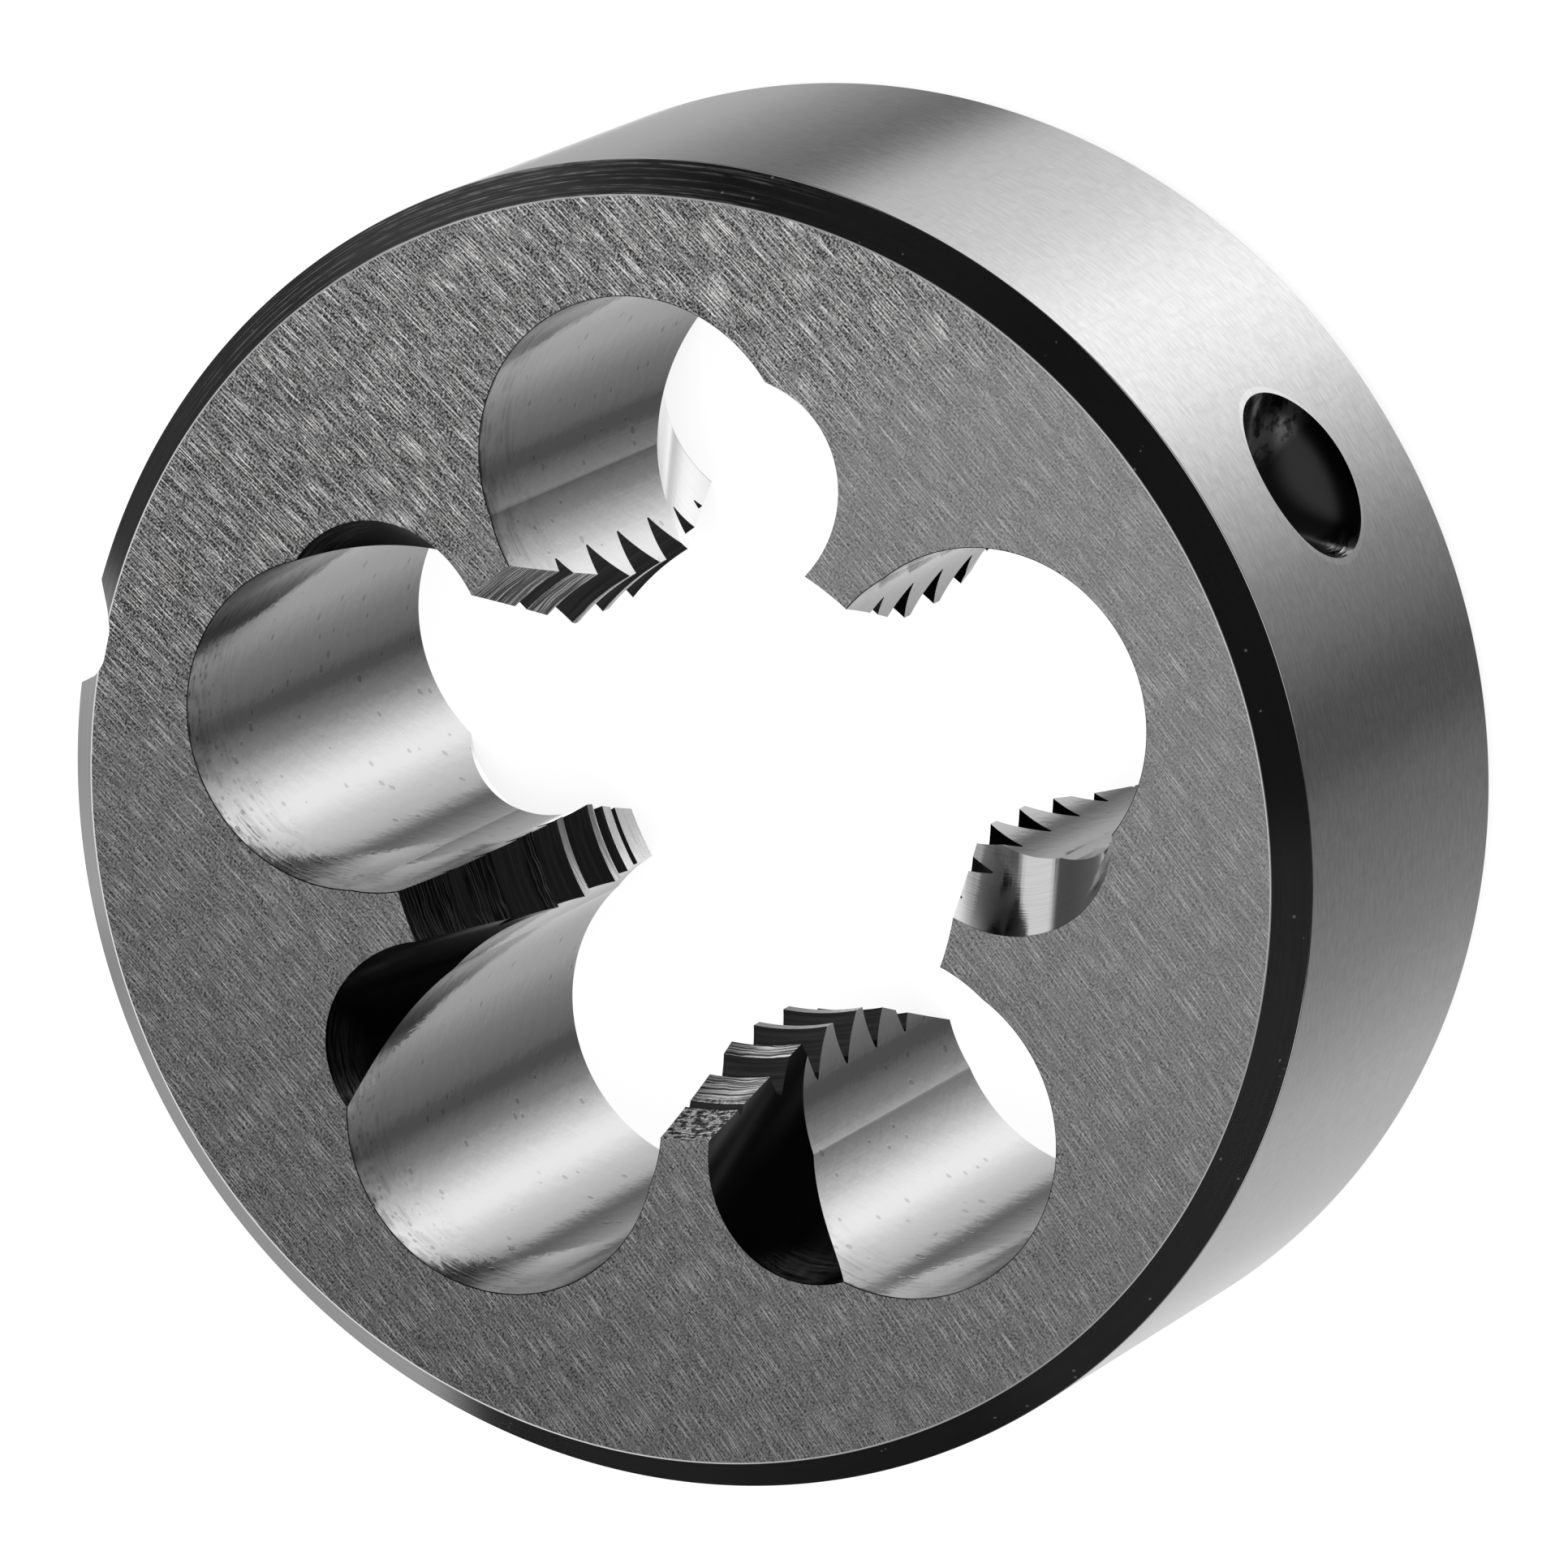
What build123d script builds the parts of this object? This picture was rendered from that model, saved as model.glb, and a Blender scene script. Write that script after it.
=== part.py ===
from build123d import *
from math import ceil, cos, radians, sin, tan
import os

# A round threading die, one solid piece of hardened steel. It lies on its back face, with the
# axis of its thread on Z and the notch in its rim towards +Y. Both faces are cut alike: turned
# over about Y, the die is the same die. Sizes are in millimetres and degrees.

# Disc
outer_diameter = 55.0
thickness = 22.0
rim_chamfer = 1.28

# Thread, right-hand, with 60 degree flanks
thread_diameter = 24.0
thread_pitch = 3.0
flank_angle = 30.0
crest_flat = 0.6
root_flat = 0.145

# Cone that leads into the thread from each face
mouth_clearance = 0.7
lead_turns = 2.7

# Chip holes, each a drilled hole run together with a slightly smaller one nearer the axis
chip_hole_count = 5
chip_hole_diameter = 13.86
chip_hole_offset = 3.17
inner_hole_diameter = 13.42
inner_hole_shift = 1.07

# Gashes, slanted round cuts that sharpen one side of every land at each face
gash_diameter = 9.3
gash_side_shift = 3.91
gash_inward_shift = 1.18
gash_tilt = 24.9
gash_swing = 34.1
gash_depth = 9.0

# Notch along the rim, where the die can be split
notch_mouth_width = 4.7
notch_floor_width = 2.3
notch_depth = 1.47
notch_floor_fillet = 0.6

# Screw seat, a cone sunk in the rim at half the thickness
seat_diameter = 8.0
seat_cone_angle = 90.0
seat_from_notch = 135.0

# Sizes worked out from those. The pitch line lies 3/8 of the sharp thread's height inside the
# nominal diameter, and there the groove takes half the pitch
overrun = 1.0
notch_direction = 90.0
outer_radius = outer_diameter / 2
thread_radius = thread_diameter / 2
flank_slope = tan(radians(flank_angle))
pitch_radius = thread_radius - 3 / 8 * thread_pitch / 2 / flank_slope
crest_radius = pitch_radius - (thread_pitch / 2 - crest_flat) / 2 / flank_slope
root_radius = pitch_radius + (thread_pitch / 2 - root_flat) / 2 / flank_slope
mouth_radius = thread_radius + mouth_clearance
lead_length = lead_turns * thread_pitch
chip_hole_centre = thread_radius + chip_hole_offset
inner_hole_centre = chip_hole_centre - inner_hole_shift
gash_radius = gash_diameter / 2
seat_radius = seat_diameter / 2
seat_depth = seat_radius / tan(radians(seat_cone_angle / 2))

# Cutter for one turn of the thread: the groove's section swept once round. It starts a little
# inside the crests, where neighbouring turns still stay apart
cutter_inner_radius = crest_radius - crest_flat / 4 / flank_slope
cutter_inner_half_width = thread_pitch / 2 - crest_flat / 4

with BuildPart() as thread_cutter:
    with BuildLine() as groove_path:
        Helix(thread_pitch, thread_pitch, pitch_radius)
    with BuildSketch(Plane.XZ):
        with BuildLine():
            Polyline(
                (cutter_inner_radius, -cutter_inner_half_width),
                (root_radius, -root_flat / 2),
                (root_radius, root_flat / 2),
                (cutter_inner_radius, cutter_inner_half_width),
                close=True,
            )
        make_face()
    sweep(path=groove_path.line, is_frenet=True)

# Cutter for one gash of the upper face: beside the chip hole that lies towards +Y it enters
# the face, and on the way down it leans into that hole
gash_entry = Vector(gash_side_shift, chip_hole_centre - gash_inward_shift, thickness)
gash_axis = Vector(
    sin(radians(gash_tilt)) * cos(radians(gash_swing)),
    sin(radians(gash_tilt)) * sin(radians(gash_swing)),
    cos(radians(gash_tilt)),
)
gash_reach = gash_depth / cos(radians(gash_tilt))
gash_above = gash_radius * tan(radians(gash_tilt)) + overrun

with BuildPart(Plane(origin=gash_entry - gash_axis * gash_reach, z_dir=gash_axis)) as gash_cutter:
    Cylinder(
        gash_radius,
        gash_reach + gash_above,
        align=(Align.CENTER, Align.CENTER, Align.MIN),
    )

# All gashes of both faces, the lower ones being the upper ones turned over about Y
with BuildPart() as gash_cutters:
    with PolarLocations(0, chip_hole_count):
        add(gash_cutter.part)
    with Locations(Location((0, 0, thickness), (0, 180, 0))):
        add(gash_cutters.part)

with BuildPart() as threading_die:
    with BuildSketch():
        Circle(outer_radius)
    extrude(amount=thickness)
    chamfer(threading_die.edges().filter_by(GeomType.CIRCLE), rim_chamfer)

    # Bore to the crests of the thread, with the cone into it from each face
    with BuildSketch():
        Circle(crest_radius)
    extrude(amount=thickness, mode=Mode.SUBTRACT)
    with Locations(Location((0, 0, 0)), Location((0, 0, thickness), (0, 180, 0))):
        Cone(
            mouth_radius,
            crest_radius,
            lead_length,
            align=(Align.CENTER, Align.CENTER, Align.MIN),
            mode=Mode.SUBTRACT,
        )

    # Chip holes
    with BuildSketch():
        with PolarLocations(chip_hole_centre, chip_hole_count, start_angle=notch_direction):
            Circle(chip_hole_diameter / 2)
        with PolarLocations(inner_hole_centre, chip_hole_count, start_angle=notch_direction):
            Circle(inner_hole_diameter / 2)
    extrude(amount=thickness, mode=Mode.SUBTRACT)

    # Thread, an odd number of turns about mid height, each begun inside the chip hole that is
    # nearest to the notch
    thread_turns = 2 * ceil(thickness / 2 / thread_pitch) + 1
    first_turn_height = (thickness - thread_turns * thread_pitch) / 2
    for turn in range(thread_turns):
        with Locations(
            Location((0, 0, first_turn_height + turn * thread_pitch), (0, 0, notch_direction))
        ):
            add(thread_cutter.part, mode=Mode.SUBTRACT)

    # Gashes
    add(gash_cutters.part, mode=Mode.SUBTRACT)

    # Notch
    with BuildSketch() as notch_section:
        with BuildLine():
            Polyline(
                (-notch_mouth_width / 2, outer_radius + overrun),
                (-notch_mouth_width / 2, outer_radius),
                (-notch_floor_width / 2, outer_radius - notch_depth),
                (notch_floor_width / 2, outer_radius - notch_depth),
                (notch_mouth_width / 2, outer_radius),
                (notch_mouth_width / 2, outer_radius + overrun),
                close=True,
            )
        make_face()
        fillet(notch_section.vertices().group_by(Axis.Y)[0], notch_floor_fillet)
    extrude(amount=thickness, mode=Mode.SUBTRACT)

    # Screw seat
    with Locations(Location((0, 0, thickness / 2), (0, 0, notch_direction - seat_from_notch))):
        with Locations(Location((outer_radius, 0, 0), (0, -90, 0))):
            Cone(
                seat_radius,
                0,
                seat_depth,
                align=(Align.CENTER, Align.CENTER, Align.MIN),
                mode=Mode.SUBTRACT,
            )

threading_die.part.label = "threading_die"

os.makedirs("parts", exist_ok=True)
export_step(threading_die.part, "parts/threading_die.step")
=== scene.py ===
"""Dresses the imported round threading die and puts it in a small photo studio.

The die is rebuilt fine enough for a close look: a turned blank is bored, drilled, threaded,
gashed, notched and countersunk with cutters, as the real one is made. Every cutter leaves its
own finish on the faces it cuts. Lengths are in metres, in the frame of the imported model.
"""

from math import cos, pi, radians, sin, tan

import bmesh
import bpy
from bpy.props import FloatProperty, IntProperty, PointerProperty
from mathutils import Matrix, Vector


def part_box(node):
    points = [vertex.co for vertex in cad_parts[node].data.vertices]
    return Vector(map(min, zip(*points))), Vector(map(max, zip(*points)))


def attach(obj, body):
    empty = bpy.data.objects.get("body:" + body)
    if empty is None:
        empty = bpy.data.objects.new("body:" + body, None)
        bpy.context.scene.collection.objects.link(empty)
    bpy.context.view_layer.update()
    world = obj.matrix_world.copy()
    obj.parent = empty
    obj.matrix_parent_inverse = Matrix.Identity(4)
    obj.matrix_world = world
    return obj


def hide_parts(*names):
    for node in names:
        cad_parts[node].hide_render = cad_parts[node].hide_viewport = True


bl_info = {
    "name": "Round threading die",
    "version": (1, 0, 0),
    "blender": (4, 5, 0),
    "location": "View3D > Sidebar > Threading Die",
    "description": "Rebuilds a round threading die with its machined finishes, and its studio",
    "category": "Add Mesh",
}

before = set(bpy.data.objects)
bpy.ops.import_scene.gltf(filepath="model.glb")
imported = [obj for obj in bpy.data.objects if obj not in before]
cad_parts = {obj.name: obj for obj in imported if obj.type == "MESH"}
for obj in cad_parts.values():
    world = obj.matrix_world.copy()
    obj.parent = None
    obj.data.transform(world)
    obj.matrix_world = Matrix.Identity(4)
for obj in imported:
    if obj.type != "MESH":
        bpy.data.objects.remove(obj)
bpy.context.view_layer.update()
DIE_LOW, DIE_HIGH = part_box("threading_die")

# Direction of the notch, which is also where the first chip hole lies
NOTCH_DIRECTION = radians(90)

# How far a cutter runs past the face that it cuts
OVERRUN = 0.001

# Centre of the arcs that the grinding wheel leaves on the faces, and its distance, in millimetres
WHEEL_CENTRE = (-195.0, 131.5)
WHEEL_REACH = 235.0

# Faces round a cut: the rim, the bore, a chip hole, a gash, the screw seat and one turn of the
# thread
RIM_SIDES = 720
BORE_SIDES = 360
HOLE_SIDES = 240
GASH_SIDES = 160
SEAT_SIDES = 128
THREAD_STEPS = 180


# Settings


def length_prop(name, description, default):
    """Describes a length that can be set."""
    return FloatProperty(
        name=name, description=description, default=default, precision=5, unit="LENGTH"
    )


def angle_prop(name, description, degrees):
    """Describes an angle that can be set."""
    return FloatProperty(
        name=name, description=description, default=radians(degrees), subtype="ANGLE"
    )


class BlankSizes(bpy.types.PropertyGroup):
    """Sizes of the turned blank, with the notch and the screw seat in its rim"""

    outer_diameter: length_prop(
        "Outer diameter", "Width of the disc across its rim", DIE_HIGH.x - DIE_LOW.x
    )
    thickness: length_prop(
        "Thickness", "Height of the disc from face to face", DIE_HIGH.z - DIE_LOW.z
    )
    rim_chamfer: length_prop("Rim chamfer", "Width of the 45 degree chamfer at each face", 0.00128)
    edge_break: length_prop(
        "Edge break", "Width of the small bevel on turned and drilled edges", 0.00004
    )
    notch_mouth: length_prop("Notch mouth", "Width of the rim notch at the rim", 0.0047)
    notch_floor: length_prop("Notch floor", "Width of the rim notch at its floor", 0.0023)
    notch_depth: length_prop("Notch depth", "Depth of the rim notch", 0.00147)
    notch_fillet: length_prop(
        "Notch fillet", "Radius between the floor and the sides of the rim notch", 0.0006
    )
    seat_diameter: length_prop("Seat diameter", "Width of the conical screw seat at the rim", 0.008)
    seat_direction: angle_prop("Seat direction", "Place of the screw seat round the rim", -45)


class ThreadSizes(bpy.types.PropertyGroup):
    """Sizes of the inner thread and of the lead cone at each face"""

    pitch: length_prop("Pitch", "Rise of the thread in one turn", 0.003)
    crest_radius: length_prop("Crest radius", "Distance of the crests from the axis", 0.010246)
    root_radius: length_prop("Root radius", "Distance of the roots from the axis", 0.012199)
    root_flat: length_prop("Root flat", "Width of the flat at the bottom of the groove", 0.000145)
    flank_angle: angle_prop("Flank angle", "Lean of each flank of the thread", 30)
    mouth_radius: length_prop("Mouth radius", "Radius of the lead cone at the face", 0.0127)
    lead_length: length_prop("Lead length", "Depth of the lead cone", 0.0081)


class HoleSizes(bpy.types.PropertyGroup):
    """Sizes of the chip holes and of the gashes beside them"""

    count: IntProperty(name="Count", description="Number of chip holes", default=5, min=1)
    diameter: length_prop("Diameter", "Width of a chip hole", 0.01386)
    centre: length_prop("Centre", "Distance of a chip hole from the axis", 0.01517)
    inner_diameter: length_prop(
        "Inner diameter", "Width of the second drilling, nearer the axis", 0.01342
    )
    inner_centre: length_prop(
        "Inner centre", "Distance of the second drilling from the axis", 0.0141
    )
    gash_diameter: length_prop(
        "Gash diameter", "Width of the slanted cut that sharpens a land", 0.0093
    )
    gash_side: length_prop(
        "Gash side shift",
        "Distance of the gash from the middle of its chip hole, along the rim",
        0.00391,
    )
    gash_centre: length_prop(
        "Gash centre", "Distance of the gash from the axis, towards its chip hole", 0.01399
    )
    gash_tilt: angle_prop("Gash tilt", "Lean of the gash from upright", 24.9)
    gash_swing: angle_prop("Gash swing", "Direction in which the gash leans", 34.1)
    gash_depth: length_prop("Gash depth", "Depth of the gash below the face", 0.009)


# Tools for working on meshes


def deselect_all():
    """Leaves nothing selected, so that an operator acts on the new piece alone."""
    for obj in bpy.context.selected_objects:
        obj.select_set(False)
    bpy.context.view_layer.objects.active = None


def select_only(obj):
    """Makes one object the selected and active one."""
    deselect_all()
    obj.select_set(True)
    bpy.context.view_layer.objects.active = obj


def name_new(name):
    """Names the object that an operator has just added."""
    obj = bpy.context.object
    obj.name = name
    obj.data.name = name
    return obj


def select_edges(test):
    """In edit mode, selects the edges whose middle passes a test."""
    bpy.ops.mesh.select_mode(type="EDGE")
    bpy.ops.mesh.select_all(action="DESELECT")
    mesh = bmesh.from_edit_mesh(bpy.context.object.data)
    for edge in mesh.edges:
        edge.select_set(test((edge.verts[0].co + edge.verts[1].co) / 2))
    bmesh.update_edit_mesh(bpy.context.object.data)


def add_round_bar(name, radius, low, high, sides, location=(0, 0)):
    """Adds an upright cylinder from one height to another."""
    deselect_all()
    bpy.ops.mesh.primitive_cylinder_add(
        vertices=sides,
        radius=radius,
        depth=high - low,
        location=(location[0], location[1], (low + high) / 2),
    )
    bar = name_new(name)
    bpy.ops.object.transform_apply(location=True, rotation=True, scale=True)
    return bar


def draw_out_end(bar, centre, up, rise, old_radius, new_radius):
    """Extrudes one end of a round bar along Z and gives the new end another radius."""
    select_only(bar)
    bpy.ops.object.mode_set(mode="EDIT")
    bpy.ops.mesh.select_mode(type="FACE")
    bpy.ops.mesh.select_all(action="DESELECT")
    mesh = bmesh.from_edit_mesh(bar.data)
    mesh.normal_update()
    end_height = max(vertex.co.z * up for vertex in mesh.verts)
    for face in mesh.faces:
        at_end = abs(face.calc_center_median().z * up - end_height) < 1e-7
        face.select_set(face.normal.z * up > 0.9 and at_end)
    bmesh.update_edit_mesh(bar.data)
    bpy.ops.mesh.extrude_region_move(TRANSFORM_OT_translate={"value": (0, 0, rise * up)})
    factor = new_radius / old_radius
    bpy.ops.transform.resize(
        value=(factor, factor, 1),
        center_override=(centre[0], centre[1], 0),
    )
    bpy.ops.object.mode_set(mode="OBJECT")


def copy_turned(piece, name, matrix):
    """Copies a piece with a mesh of its own and moves the copy's mesh by a matrix."""
    select_only(piece)
    bpy.ops.object.duplicate(linked=False)
    copy = name_new(name)
    copy.data.transform(matrix)
    return copy


def join(pieces):
    """Joins pieces into the first one."""
    deselect_all()
    for piece in pieces:
        piece.select_set(True)
    bpy.context.view_layer.objects.active = pieces[0]
    bpy.ops.object.join()
    return pieces[0]


def combine(piece, tool, operation):
    """Cuts a piece with a tool, or adds the tool to it, and removes the tool."""
    select_only(piece)
    modifier = piece.modifiers.new(tool.name, "BOOLEAN")
    modifier.operation = operation
    modifier.solver = "EXACT"
    modifier.material_mode = "TRANSFER"
    modifier.object = tool
    bpy.ops.object.modifier_apply(modifier=modifier.name)
    mesh = tool.data
    bpy.data.objects.remove(tool)
    bpy.data.meshes.remove(mesh)


def aim(cutter, place, axis):
    """Points the Z of a cutter's mesh along an axis and moves it to a place."""
    turn = axis.to_track_quat("Z", "Y").to_matrix().to_4x4()
    cutter.data.transform(Matrix.Translation(place) @ turn)


def finish_with(piece, material):
    """Gives a whole piece one material."""
    piece.data.materials.clear()
    piece.data.materials.append(material)


def ring_turns(count):
    """Turns about the axis that carry one hole's cuts to every hole."""
    return [Matrix.Rotation(2 * pi * place / count, 4, "Z") for place in range(count)]


# The blank and its cutters


def add_blank(blank, materials):
    """Adds the turned disc, chamfered at both faces, with its turned edges broken."""
    radius = blank.outer_diameter / 2
    disc = add_round_bar("die_steel", radius, 0, blank.thickness, RIM_SIDES)
    bpy.ops.object.mode_set(mode="EDIT")

    def at_face(middle):
        return min(middle.z, blank.thickness - middle.z) < 1e-6

    select_edges(at_face)
    bpy.ops.mesh.bevel(offset=blank.rim_chamfer, offset_type="OFFSET", segments=1)

    def at_chamfer_end(middle):
        out = Vector((middle.x, middle.y)).length
        height = min(middle.z, blank.thickness - middle.z)
        on_rim = out > radius * 0.9999 and abs(height - blank.rim_chamfer) < 1e-6
        on_face = height < 1e-6 and out > radius * 0.9
        return on_rim or on_face

    select_edges(at_chamfer_end)
    bpy.ops.mesh.bevel(offset=blank.edge_break, offset_type="OFFSET", segments=2, profile=0.5)
    bpy.ops.object.mode_set(mode="OBJECT")

    disc.data.materials.clear()
    for material in (materials["face"], materials["chamfer"], materials["rim"]):
        disc.data.materials.append(material)
    for polygon in disc.data.polygons:
        lean = abs(polygon.normal.z)
        polygon.material_index = 0 if lean > 0.99 else 2 if lean < 0.2 else 1
    return disc


def add_bore_cutter(blank, thread):
    """Adds the cutter for the bore, with the lead cone at each face."""
    lead = thread.lead_length
    cutter = add_round_bar(
        "bore_cutter", thread.crest_radius, lead, blank.thickness - lead, BORE_SIDES
    )
    for up in (1, -1):
        draw_out_end(cutter, (0, 0), up, lead, thread.crest_radius, thread.mouth_radius)
        draw_out_end(cutter, (0, 0), up, OVERRUN, thread.mouth_radius, thread.mouth_radius)
    return cutter


def add_drill(blank, name, diameter, centre):
    """Adds the cutter for one drilling at the notch's side, flared where it leaves a face."""
    flare = blank.edge_break
    radius = diameter / 2
    place = (centre * cos(NOTCH_DIRECTION), centre * sin(NOTCH_DIRECTION))
    drill = add_round_bar(name, radius, flare, blank.thickness - flare, HOLE_SIDES, place)
    for up in (1, -1):
        rise = flare + OVERRUN / 2
        draw_out_end(drill, place, up, rise, radius, radius + rise)
    return drill


def add_hole_cutters(blank, holes):
    """Adds the cutters for all chip holes, each two drillings run together."""
    drill = add_drill(blank, "chip_drill", holes.diameter, holes.centre)
    inner = add_drill(blank, "inner_drill", holes.inner_diameter, holes.inner_centre)
    combine(drill, inner, "UNION")
    turns = ring_turns(holes.count)
    copies = [copy_turned(drill, f"chip_drill_{i}", turn) for i, turn in enumerate(turns) if i]
    return join([drill] + copies)


def add_thread_cutter(blank, thread):
    """Adds the groove of the thread: its section, screwed up through the whole die."""
    slope = tan(thread.flank_angle)
    inner_half = thread.pitch / 2 * 0.9
    inner_radius = thread.root_radius - (inner_half - thread.root_flat / 2) / slope
    turns = 2 * int(blank.thickness / 2 / thread.pitch + 1) + 1
    start = (blank.thickness - turns * thread.pitch) / 2

    deselect_all()
    bpy.ops.mesh.primitive_circle_add(vertices=4, fill_type="NOTHING", radius=thread.pitch)
    cutter = name_new("thread_cutter")
    section = (
        (inner_radius, -inner_half),
        (thread.root_radius, -thread.root_flat / 2),
        (thread.root_radius, thread.root_flat / 2),
        (inner_radius, inner_half),
    )
    out = Vector((cos(NOTCH_DIRECTION), sin(NOTCH_DIRECTION), 0))
    for vertex, (radius, height) in zip(cutter.data.vertices, section):
        vertex.co = out * radius + Vector((0, 0, start + height))

    screw = cutter.modifiers.new("Thread", "SCREW")
    screw.axis = "Z"
    screw.angle = 2 * pi
    screw.screw_offset = thread.pitch
    screw.iterations = turns
    screw.steps = THREAD_STEPS
    screw.render_steps = THREAD_STEPS
    bpy.ops.object.modifier_apply(modifier=screw.name)
    bpy.ops.object.mode_set(mode="EDIT")
    bpy.ops.mesh.select_all(action="SELECT")
    bpy.ops.mesh.fill_holes(sides=4)
    bpy.ops.mesh.select_all(action="SELECT")
    bpy.ops.mesh.normals_make_consistent(inside=False)
    bpy.ops.object.mode_set(mode="OBJECT")
    return cutter


def add_gash_cutters(blank, holes):
    """Adds the slanted round cutters, one at each face for every chip hole."""
    axis = Vector(
        (
            sin(holes.gash_tilt) * cos(holes.gash_swing),
            sin(holes.gash_tilt) * sin(holes.gash_swing),
            cos(holes.gash_tilt),
        )
    )
    reach = holes.gash_depth / cos(holes.gash_tilt)
    above = holes.gash_diameter / 2 * tan(holes.gash_tilt) + OVERRUN
    entry = Vector((holes.gash_side, holes.gash_centre, blank.thickness))
    cutter = add_round_bar("gash_cutter", holes.gash_diameter / 2, -reach, above, GASH_SIDES)
    aim(cutter, entry, axis)

    middle = Matrix.Translation((0, 0, blank.thickness / 2))
    turned_over = middle @ Matrix.Rotation(pi, 4, "Y") @ middle.inverted()
    cutters = [cutter]
    for index, turn in enumerate(ring_turns(holes.count)):
        if index:
            cutters.append(copy_turned(cutter, f"gash_cutter_{index}", turn))
        cutters.append(copy_turned(cutter, f"back_gash_cutter_{index}", turned_over @ turn))
    return join(cutters)


def add_notch_cutter(blank):
    """Adds the tapered bar that cuts the notch along the rim."""
    radius = blank.outer_diameter / 2
    floor = radius - blank.notch_depth
    deselect_all()
    bpy.ops.mesh.primitive_cube_add(
        size=1,
        location=(0, floor + 0.5 * (blank.notch_depth + OVERRUN), blank.thickness / 2),
        scale=(blank.notch_floor, blank.notch_depth + OVERRUN, blank.thickness + 2 * OVERRUN),
    )
    cutter = name_new("notch_cutter")
    bpy.ops.object.transform_apply(location=True, rotation=True, scale=True)
    flare = (blank.notch_mouth - blank.notch_floor) / 2 / blank.notch_depth
    mouth_half = blank.notch_floor / 2 + flare * (blank.notch_depth + OVERRUN)
    for vertex in cutter.data.vertices:
        if vertex.co.y > radius:
            vertex.co.x = mouth_half if vertex.co.x > 0 else -mouth_half
    bpy.ops.object.mode_set(mode="EDIT")

    def at_floor_corner(middle):
        on_floor = abs(middle.y - floor) < 1e-6
        upright = abs(middle.z - blank.thickness / 2) < 1e-6
        return on_floor and upright and abs(middle.x) > blank.notch_floor / 4

    select_edges(at_floor_corner)
    bpy.ops.mesh.bevel(offset=blank.notch_fillet, offset_type="OFFSET", segments=8)
    bpy.ops.object.mode_set(mode="OBJECT")
    return cutter


def add_seat_cutter(blank):
    """Adds the 90 degree cone that sinks the screw seat into the rim."""
    depth = blank.seat_diameter / 2 + OVERRUN
    deselect_all()
    bpy.ops.mesh.primitive_cone_add(
        vertices=SEAT_SIDES, radius1=depth, radius2=0, depth=depth, location=(0, 0, -depth / 2)
    )
    cutter = name_new("seat_cutter")
    bpy.ops.object.transform_apply(location=True, rotation=True, scale=True)
    out = Vector((cos(blank.seat_direction), sin(blank.seat_direction), 0))
    tip = out * (blank.outer_diameter / 2 - blank.seat_diameter / 2)
    tip.z = blank.thickness / 2
    aim(cutter, tip, -out)
    return cutter


def clean_up(piece):
    """Closes the seams that the cuts leave and lets round faces shade round."""
    select_only(piece)
    bpy.ops.object.mode_set(mode="EDIT")
    bpy.ops.mesh.select_all(action="SELECT")
    bpy.ops.mesh.remove_doubles(threshold=1e-6)
    bpy.ops.mesh.dissolve_degenerate(threshold=1e-7)
    bpy.ops.mesh.select_all(action="SELECT")
    bpy.ops.mesh.normals_make_consistent(inside=False)
    bpy.ops.object.mode_set(mode="OBJECT")
    bpy.ops.object.shade_smooth_by_angle(angle=radians(12))


# Shader tools


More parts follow.
